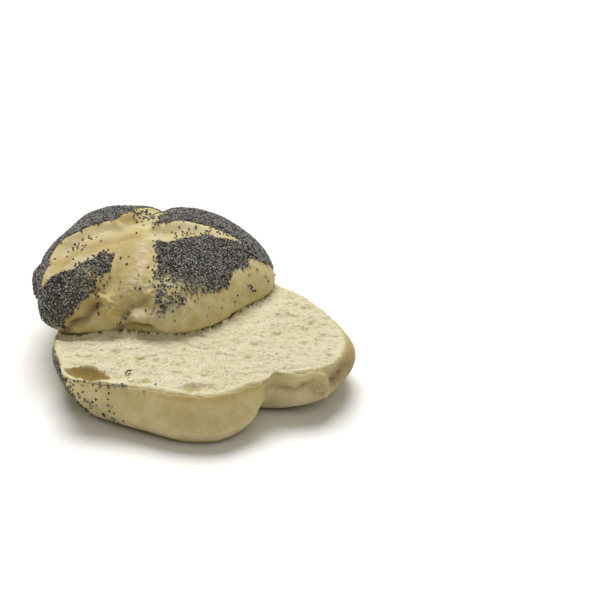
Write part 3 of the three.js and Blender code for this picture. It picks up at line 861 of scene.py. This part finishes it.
class ROLL_OT_base_crumb(bpy.types.Operator):
    """Crumb of the base: the torn cut face with its pores, its air pocket, its dent and its soft edge"""

    bl_idname = "roll.base_crumb"
    bl_label = "Base crumb"

    edge_rings = ((CUT_HEIGHT - 1.4, 0.25), (CUT_HEIGHT - 2.2, 1.2), (6, 9))  # (height, how far inside)

    def execute(self, context):
        """The face is a height over the plane of the cut, and its edge runs on down inside the crust."""
        n = context.scene.roll_sizes.crumb_grid
        angle, share = disc_grid(n)
        rim = at_angle(BASE_RIM, angle)
        to_edge = rim * (1 - share)
        flat = polar(rim * share, angle, 0)[..., :2]
        ragged = 0.55 * fractal(flat, 1.8, 2) * blend(-to_edge, -2.5, 0)
        x, y = np.moveaxis(polar((rim - CRUMB_INSIDE + ragged) * share, angle, 0)[..., :2], -1, 0)
        strip = lid_edge_strip(flat)
        pocket, dent, pores = hollow(x, y, AIR_POCKET), hollow(x, y, DENT), open_pores(x, y)
        torn = crumb_relief(x, y) * (0.45 + 0.55 * blend(to_edge, 0, 4)) * (1 - 0.6 * strip)
        torn = torn * (1 - 0.85 * blend(pocket + dent, 0.3, 1.8))
        pressed = near_line(flat, PRESSED, 2.2)
        flattened = pressed * (1.5 + 1.5 * fractal(flat, 2.2, 3))
        tufts = strip * (1 - pressed) * (0.2 + 1.9 * blend(fractal(flat, 1.7, 3, 0.75), -0.2, 0.45))
        below = torn + pocket + dent + flattened + pores + rounded_off(to_edge) - tufts
        face = np.stack([x, y, CUT_HEIGHT + CRUMB_TOP - below], axis=-1)
        edge = angle.ravel()[grid_edge(n)]
        rings = [inset(base_crust_points(edge, np.full(edge.shape, z / CUT_HEIGHT)), by) + BASE_AT
                 for z, by in self.edge_rings]
        values = {
            # Painted shade: deep crumb, and the strip just outside the lid's rim, get the deeper colour.
            "deep": np.maximum(blend(torn, 1.5, 3.0), blend(pores, 0.4, 1.6)) + 0.3 * strip,
            # the air pocket's own wall with painted shade, and painted shade in the dent
            "pocket": blend(pocket + 0.5 * dent, 0.3, 1.8),
            "edge": 1 - blend(to_edge, 0.1, 1.4),
        }
        piece = disc_body("base_crumb", face + BASE_AT, rings, values)
        finish_piece(piece, "roll_base", "crumb", context)
        return {"FINISHED"}


class ROLL_OT_lid_crust(bpy.types.Operator):
    """Crust of the lid: dome, star of pale arms, lobes, folds and the torn edge of the cut"""

    bl_idname = "roll.lid_crust"
    bl_label = "Lid crust"

    rim_rings = ((0.5, 0.1), (1.2, 0.5), (3, 3))  # (how far inside, in crust thicknesses, and how far up)

    def execute(self, context):
        """The dome on a disc grid, then rings that turn in under its rim to a hidden flat cap."""
        sizes = context.scene.roll_sizes
        angle, share = disc_grid(sizes.lid_grid)
        face = lid_crust_points(angle, 1 - share)
        edge = face.reshape(-1, 3)[grid_edge(sizes.lid_grid)]
        rings = [inset(edge, by * (sizes.crust_thickness / MM)) + (0, 0, up) + LID_AT
                 for by, up in self.rim_rings]
        smooth = lid_shell(angle, 1 - share)
        margin = near_height(lobe_distance(smooth), 0, 2.2) * blend(fractal(smooth, 5, 2), -0.1, 0.4)
        # The creases at the lid's front are browned along their line, and darkened with painted shade down in
        # them.
        crease_brown_and_shade = (0.9 * near_line(waver(smooth, 4, 0.6), LID_CREASE, 1.5)
                   + 0.7 * near_line(waver(smooth, 4, 0.8), [(-19, -43, 19), (-12, -45, 18)], 1.2))
        values = {
            "golden": 0.1 + 0.7 * margin + marks(smooth, LID_GOLDEN),
            # browning along the lobes' margin and the rim, and painted shade in the creases, the hollow and
            # the fold
            "tan": crease_brown_and_shade + 0.3 * margin + 0.3 * blend(-smooth[..., 2], -1.5, 0) + marks(smooth, LID_TAN_AND_SHADE),
            "flour_and_light": 0.8 * crack_share(smooth) + 0.05 * blend(-star_distance(smooth), 0, 4)
                     + marks(smooth, LID_FLOUR),
            # painted shade in the gaps of the seed coat, where it is close
            "seed_bits_and_shade": 0.95 * blend(seed_density(smooth), 0.6, 0.97),
        }
        piece = disc_body("lid_crust", face + LID_AT, rings, values)
        finish_piece(piece, "roll_lid", "crust", context)
        return {"FINISHED"}


class ROLL_OT_lid_crumb(bpy.types.Operator):
    """Crumb of the lid: the torn face that it rests on"""

    bl_idname = "roll.lid_crumb"
    bl_label = "Lid crumb"

    grid = 221  # points along each side of the grid on this face, which hardly shows
    inside, lift = 0.5, 0.05  # how far the face ends inside the rim, and how far it stands off the cut
    hidden_inside, hidden_up = 1.5, 5  # where the hidden ring lies

    def execute(self, context):
        """The face is a height over the plane of the cut, and one ring above it is hidden in the crust."""
        angle, share = disc_grid(self.grid)
        rim = at_angle(LID_RIM, angle)
        x, y, _ = np.moveaxis(polar((rim - self.inside) * share, angle, 0), -1, 0)
        above = crumb_relief(x + 200, y) * (0.35 + 0.65 * blend(rim * (1 - share), 0, 3))
        face = np.stack([x, y, self.lift + above], axis=-1)
        hidden = inset(face.reshape(-1, 3)[grid_edge(self.grid)], self.hidden_inside)
        hidden[:, 2] = self.hidden_up
        # Painted shade: crumb that lies deep gets the deeper colour.
        values = {"deep": blend(above, 1.5, 3.0), "pocket": 0 * share, "edge": 1 - blend(share, 0.96, 1)}
        piece = disc_body("lid_crumb", face + LID_AT, [hidden + LID_AT], values, facing_up=False)
        finish_piece(piece, "roll_lid", "crumb", context)
        return {"FINISHED"}


# ---------- seeds
# Seeds that lie apart. A row has both its ends, (angle in degrees, share of the way up), its count, and its
# spread in both. A single seed has its angle and its share, and one on the cut face its place there.
LID_TRAILS = [
    ((-163, 0.75), (-148, 0.68), 8, 3, 0.05), ((-160, 0.62), (-133, 0.63), 6, 3, 0.04),
    ((112, 0.885), (90, 0.95), 4, 3, 0.01), ((92, 0.80), (75, 0.85), 8, 1.5, 0.01),
    ((93, 0.74), (79, 0.79), 8, 2, 0.02), ((-69, 0.77), (-77, 0.53), 16, 1.8, 0.012),
    ((-108, 0.475), (-110, 0.35), 12, 2, 0.015), ((-92, 0.376), (-88, 0.366), 4, 0.8, 0.004),
    ((-110, 0.29), (-110, 0.13), 9, 1, 0.01), ((-102, 0.065), (-98, 0.108), 7, 0.5, 0.01),
    ((-25, 0.15), (-22.5, 0.09), 7, 0.6, 0.01), ((12, 0.79), (-14, 0.70), 13, 4, 0.04),
    ((-10, 0.12), (-15, 0.30), 5, 2, 0.02), ((-86, 0.19), (-81, 0.17), 4, 1.5, 0.01)]
LID_SINGLES = [
    (-110, 0.79), (-101, 0.622), (-96, 0.58), (-99, 0.418), (-100, 0.357), (-99, 0.287), (-88, 0.491),
    (-82, 0.432), (-80, 0.381), (-79, 0.356), (-81, 0.301), (-104, 0.192), (-97, 0.126), (-79, 0.257),
    (-58, 0.155), (-60, 0.095), (53, 0.937), (-28, 0.939), (-16, 0.923), (-61, 0.765)]
BASE_TRAILS = [
    ((-139, 0.96), (-119, 0.985), 15, 1, 0.02), ((-147, 0.66), (-136, 0.38), 11, 1.5, 0.04),
    ((-150, 0.27), (-143, 0.12), 11, 1.5, 0.04), ((-129, 0.26), (-127, 0.21), 4, 0.6, 0.01),
    ((-156, 0.75), (-150, 0.55), 14, 3, 0.08), ((-145, 0.95), (-142, 0.86), 5, 1.5, 0.03)]
BASE_SINGLES = [
    (-128, 0.686), (-128, 0.547), (-129, 0.434), (-126, 0.434), (-119, 0.843), (-112, 0.925), (-131, 0.89),
    (-138, 0.87)]
ON_THE_CUT = [
    (-27.7, -34.6), (-27.3, -33.3), (-26.9, -32.1), (-26.1, -32.4), (-26.4, -36.0), (-15.2, -44.1)]
SEEDED_SIDE = (-163, 10)  # direction and half width, in degrees, of the close seeds on the base's wall

RANDOM_START = 11
MEASURED_ROWS, MEASURED_COLUMNS = 600, 721  # points at which a surface is measured before it is sown
ROW_GAP = 0.9  # distance between rows of seeds, in pitches
JITTER = 0.34  # how far a seed may lie off its place in the row, in pitches
# Shares of the way up between which seeds are sown close, and between which they lie apart.
LID_SOWN = (0.02, 0.9995)
BASE_SOWN = (0.06, 0.97)
APART_BETWEEN = (0.07, 0.995)
SEED_SHAPE = (1, 0.82, 0.76)  # length, width and height, as shares of the length
SEED_GROWTH = (0.86, 1.1)  # smallest and largest seed, in mean lengths
SEED_TILT = 0.28  # spread of what is added to each part of the skin's normal
SEED_STANDS = (0.05, 0.42)  # how far its middle stands off the skin
SEED_ON_CUT = 0.3  # how far under the plane of the cut its middle lies, on the crumb


def ball_corners():
    """The 12 corners and 20 faces of a regular icosahedron of radius 1."""
    golden_ratio = (1 + sqrt(5)) / 2
    pairs = [(a, b * golden_ratio) for a in (-1, 1) for b in (-1, 1)]
    corners = np.array([turned for a, b in pairs for turned in ((0, a, b), (a, b, 0), (b, 0, a))], float)
    near = np.linalg.norm(corners[:, None] - corners[None], axis=-1) < 2.1
    faces = [trio for trio in combinations(range(12), 3) if all(near[pair] for pair in combinations(trio, 2))]
    faces = [trio if np.linalg.det(corners[list(trio)]) > 0 else trio[::-1] for trio in faces]
    return corners / np.linalg.norm(corners[0]), np.array(faces)


def length_along(points):
    """Length of the way along the last axis but one of rows of points, from its start."""
    steps = np.linalg.norm(np.diff(points, axis=-2), axis=-1)
    return np.concatenate([0 * steps[..., :1], np.cumsum(steps, axis=-1)], axis=-1)


def scatter(surface, lowest, highest, pitch, random):
    """Places on a surface, about pitch apart: rows one above the other, each with a random start."""
    fine = np.linspace(lowest, highest, MEASURED_ROWS)
    up = length_along(surface(0 * fine, fine))
    shares = np.interp(np.arange(0, up[-1], pitch * ROW_GAP), up, fine)
    around = np.linspace(-pi, pi, MEASURED_COLUMNS)[None, :]
    round_length = length_along(surface(around + 0 * shares[:, None], shares[:, None] + 0 * around))
    counts = np.maximum(1, np.round(round_length[:, -1] / pitch)).astype(int)
    row = np.repeat(np.arange(len(shares)), counts)
    place = np.arange(len(row)) - np.repeat(np.cumsum(counts) - counts, counts)
    jitter = random.uniform(-JITTER, JITTER, (2, len(row)))
    turn = (place + random.random(len(shares))[row] + jitter[0]) / counts[row]
    share = np.clip(shares[row] + jitter[1] * np.gradient(shares)[row], lowest, highest)
    return (turn * 2 - 1) * pi, share


def trail_places(trails, singles, random):
    """Angles and shares of the seeds that lie apart: evenly along each row and off it by its spread."""
    rows = [np.linspace(start, end, count) + random.normal(0, (turn, up), (count, 2))
            for start, end, count, turn, up in trails]
    places = np.concatenate([*rows, singles])
    return np.radians(places[:, 0]), np.clip(places[:, 1], *APART_BETWEEN)


def seed_mesh(name, points, normals, length, random):
    """One mesh of all the seeds: a stretched and flattened icosahedron each, tilted at random."""
    count = len(points)
    shape, faces = ball_corners()
    half = length / 2 * np.array(SEED_SHAPE) * random.uniform(*SEED_GROWTH, (count, 1))
    lean = normals + random.normal(0, SEED_TILT, (count, 3))
    up = lean / np.linalg.norm(lean, axis=1, keepdims=True)
    side = np.cross(up, random.normal(0, 1, (count, 3)))
    side /= np.linalg.norm(side, axis=1, keepdims=True)
    axes = np.stack([side, np.cross(up, side), up], axis=1)
    corners = points[:, None] + np.einsum("sci,sij->scj", shape[None] * half[:, None], axes)
    index = (np.arange(count)[:, None, None] * len(shape) + faces[None]).reshape(-1, 3)
    tone = np.repeat(random.random(count), len(shape))
    return make_object(name, corners.reshape(-1, 3), [index], {"tone": tone})


def lid_chance(angle, smooth):
    """How likely a seed lies at a place on the lid: the coat of the lobes, and strays in the arms."""
    strays = 0.006 * (smooth[..., 2] > 3) + marks(smooth, SEEDS_STRAYED)
    return np.clip(seed_density(smooth) + strays, 0, FULL_COAT)


def base_chance(angle, smooth):
    """How likely one lies on the base: close on its far left, clumps towards the front, none low."""
    dense = 0.9 * blend(bell(angle, *SEEDED_SIDE), 0.3, 0.7) * blend(smooth[..., 2], 5, 13)
    single = 0.03 * blend(bell(angle, -148, 24), 0.2, 0.6) * (1 + 1.5 * fractal(smooth, 4, 2))
    return (dense + single) * blend(smooth[..., 2], 1.5, 4)


class ROLL_OT_seeds(bpy.types.Operator):
    """Poppy seeds: a close coat on the lobes of the lid that thins out at their edges, some on the base"""

    bl_idname = "roll.seeds"
    bl_label = "Seeds"

    def execute(self, context):
        random = np.random.default_rng(RANDOM_START)
        self.sow(context, random, "lid_seeds", "roll_lid", LID_AT, lid_shell, LID_SOWN,
                 lid_crust_points, lid_chance, (LID_TRAILS, LID_SINGLES))
        self.sow(context, random, "base_seeds", "roll_base", BASE_AT, base_wall, BASE_SOWN,
                 base_crust_points, base_chance, (BASE_TRAILS, BASE_SINGLES), ON_THE_CUT)
        return {"FINISHED"}

    @staticmethod
    def sow(context, random, name, node, at, shell, sown, skin, chance, apart, loose=()):
        """Sets seeds on the skin, in the coat and apart from it, and the loose ones flat on the crumb."""
        sizes = context.scene.roll_sizes
        angle, share = scatter(shell, *sown, sizes.seed_pitch / MM, random)
        kept = random.random(len(angle)) < chance(angle, shell(angle, share))
        apart_angle, apart_share = trail_places(*apart, random)
        angle = np.concatenate([angle[kept], apart_angle])
        share = np.concatenate([share[kept], apart_share])
        normals = normals_of(skin, angle, share, step=6e-3)
        points = skin(angle, share) + random.uniform(*SEED_STANDS, (len(angle), 1)) * normals
        if loose:
            on_crumb = np.array([(x, y, CUT_HEIGHT - SEED_ON_CUT) for x, y in loose])
            points = np.concatenate([points, on_crumb])
            normals = np.concatenate([normals, np.broadcast_to((0.0, 0.0, 1.0), on_crumb.shape)])
        piece = seed_mesh(name, points + at, normals, sizes.seed_length / MM, random)
        finish_piece(piece, node, "poppy_seeds", context)


# ---------- the stage
CAMERA_AT = (0.0465, -0.5247, 0.2518)
CAMERA_DOWN = 23
LENS = 80.85
SENSOR = 36
FAR = 20
FLOOR_HALF = 3
SURROUND_COLOUR = (1, 0.95, 0.85, 1)
# Where each light stands, in degrees above the horizon and round from +X: high behind, and front right.
OVERHEAD_FROM = (70, 98)
FRONT_FROM = (48, -66)


class ROLL_OT_stage(bpy.types.Operator):
    """Pale floor, a light from high behind, a weak one in front, warm surroundings and the camera"""

    bl_idname = "roll.stage"
    bl_label = "Stage"

    def execute(self, context):
        scene = context.scene
        stage = scene.roll_stage
        self.floor(stage)
        world = bpy.data.worlds.new("surroundings")
        world.use_nodes = True
        Nodes(world.node_tree).feed(world.node_tree.nodes["Background"],
                                    {"Color": SURROUND_COLOUR, "Strength": stage.surround})
        scene.world = world
        for name, strength, (up, round_from_x) in (("overhead", stage.overhead, OVERHEAD_FROM),
                                                   ("front", stage.front, FRONT_FROM)):
            light = bpy.data.lights.new(name, "SUN")
            light.energy = strength
            light.angle = stage.light_width
            new_object(name, light).rotation_euler = (radians(90 - up), 0, radians(round_from_x + 90))
        camera = new_object("camera", bpy.data.cameras.new("camera"))
        camera.data.lens = LENS
        camera.data.sensor_width = SENSOR
        camera.data.clip_end = FAR
        camera.data.dof.use_dof = False
        camera.location = CAMERA_AT
        camera.rotation_euler = (radians(90 - CAMERA_DOWN), 0, 0)
        scene.camera = camera
        scene.view_settings.view_transform = "Standard"
        return {"FINISHED"}

    @staticmethod
    def floor(stage):
        """A flat square with a slight mottle in its gloss."""
        corners = [(x * FLOOR_HALF, y * FLOOR_HALF, 0) for x, y in ((-1, -1), (1, -1), (1, 1), (-1, 1))]
        mesh = bpy.data.meshes.new("floor")
        mesh.from_pydata(corners, [], [(0, 1, 2, 3)])
        material, nodes, shader, _, (_, mottle, _) = new_material("floor")
        nodes.feed(shader, {"Base Color": linear(stage.floor), "Specular IOR Level": 0.1,
                            "Roughness": nodes.span(mottle, 0, 1, 0.75, 0.8)})
        mesh.materials.append(material)
        new_object("floor", mesh)


PIECES = (ROLL_OT_base_crust, ROLL_OT_base_crumb, ROLL_OT_lid_crust, ROLL_OT_lid_crumb, ROLL_OT_seeds,
          ROLL_OT_stage)


class ROLL_PT_panel(bpy.types.Panel):
    """The pieces of the roll, in the order they are made"""

    bl_idname = "ROLL_PT_panel"
    bl_label = "Poppy seed roll"
    bl_space_type = "VIEW_3D"
    bl_region_type = "UI"
    bl_category = "Roll"

    def draw(self, context):
        for piece in PIECES:
            self.layout.operator(piece.bl_idname)
        for settings in (context.scene.roll_sizes, context.scene.roll_colours, context.scene.roll_stage):
            for key in settings.__annotations__:
                self.layout.prop(settings, key)


SETTINGS = {"roll_sizes": RollSizes, "roll_colours": RollColours, "roll_stage": StageSettings}
CLASSES = (*SETTINGS.values(), *PIECES, ROLL_PT_panel)


def register():
    for cls in CLASSES:
        bpy.utils.register_class(cls)
    for name, settings in SETTINGS.items():
        setattr(bpy.types.Scene, name, PointerProperty(type=settings))


def unregister():
    for name in SETTINGS:
        delattr(bpy.types.Scene, name)
    for cls in reversed(CLASSES):
        bpy.utils.unregister_class(cls)


def main():
    register()
    for piece in PIECES:
        group, operator = piece.bl_idname.split(".")
        getattr(getattr(bpy.ops, group), operator)()


if __name__ == "__main__":
    main()
